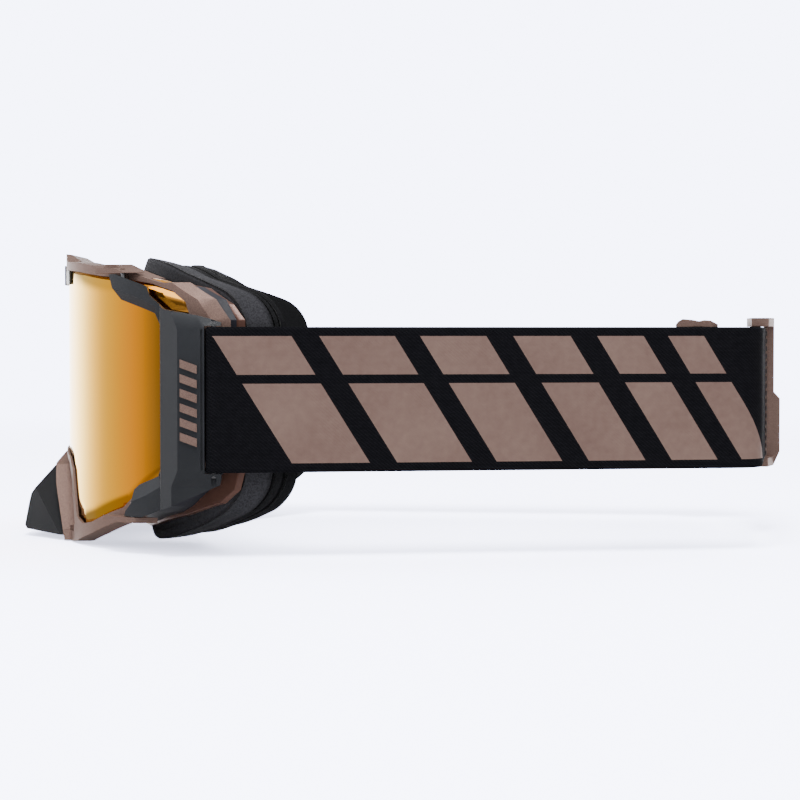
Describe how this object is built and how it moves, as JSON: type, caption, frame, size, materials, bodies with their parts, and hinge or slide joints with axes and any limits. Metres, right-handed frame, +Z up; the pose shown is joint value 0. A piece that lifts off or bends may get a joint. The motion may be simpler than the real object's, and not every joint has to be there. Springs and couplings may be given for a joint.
{
  "type": "goggles",
  "caption": "Riding goggles with a mirrored cylindrical double lens, vented frame, layered face foam, swinging outriggers, pull-off nose guard and a woven strap with a slider",
  "frame": {"origin": "Middle of the bounding box in plan, on the surface that the rim's lowest flats stand on", "axes": "+X from the lens to the back of the strap, +Y to the wearer's right, +Z up to the brow"},
  "size_m": [0.269, 0.1792, 0.0985],
  "materials": {
    "bronze_plastic": "metallic bronze moulded plastic, satin",
    "brown_plastic": "reddish brown moulded plastic",
    "clip_plastic": "dark olive moulded plastic",
    "dark_plastic": "dark grey moulded plastic, satin facets",
    "gold_mirror": "gold mirror coating on a polycarbonate lens",
    "clear_lens": "clear anti-fog acetate sheet",
    "seal_foam": "closed-cell foam spacer",
    "seal_rubber": "soft moulded gasket",
    "filter_foam": "open-cell filter foam",
    "grey_foam": "open-cell grey foam",
    "fleece": "black brushed fleece",
    "strap_webbing": "black woven elastic with printed bronze stripes",
    "grip_silicone": "silicone beads",
    "steel": "plain steel rod"
  },
  "bodies": {
    "goggles": {"front_rim": "bronze_plastic", "brow_hood": "bronze_plastic", "lens_clip": "clip_plastic", "outer_lens": "gold_mirror", "lens_spacer": "seal_foam", "inner_lens": "clear_lens", "lens_seal": "seal_rubber", "frame_body": "brown_plastic", "vent_foam_top": "filter_foam", "vent_foam_bottom": "filter_foam", "face_flange": "brown_plastic", "foam_base": "grey_foam", "foam_mid": "grey_foam", "face_fleece": "fleece", "pivot_pins": "steel", "strap_left": "strap_webbing", "strap_right": "strap_webbing", "strap_return": "strap_webbing", "rear_ring": "bronze_plastic", "grip_lines": "grip_silicone"},
    "outrigger_left": {"outrigger_left": "dark_plastic", "inlay_left": "bronze_plastic", "strap_rod_left": "steel"},
    "outrigger_right": {"outrigger_right": "dark_plastic", "inlay_right": "bronze_plastic", "strap_rod_right": "steel"},
    "nose_guard": {"nose_guard": "dark_plastic"},
    "strap_slider": {"strap_slider": "bronze_plastic"}
  },
  "joints": [
    {"name": "outrigger_left_swing", "type": "hinge", "parent": "goggles", "child": "outrigger_left", "pos_m": [-0.08806, -0.07047, 0.0119], "axis": [0.0443, -0.0382, -0.9983], "range_deg": [0, 12], "deforming": ["strap_left"]},
    {"name": "outrigger_right_swing", "type": "hinge", "parent": "goggles", "child": "outrigger_right", "pos_m": [-0.08806, 0.07047, 0.0119], "axis": [-0.0443, -0.0382, 0.9983], "range_deg": [0, 12], "deforming": ["strap_right"]},
    {"name": "nose_guard_pull", "type": "slide", "parent": "goggles", "child": "nose_guard", "axis": [-1, 0, 0], "range_m": [0, 0.03]},
    {"name": "slider_slide", "type": "slide", "parent": "goggles", "child": "strap_slider", "axis": [-0.9889, 0.1489, 0], "range_m": [0, 0.08], "deforming": ["strap_return"]}
  ]
}
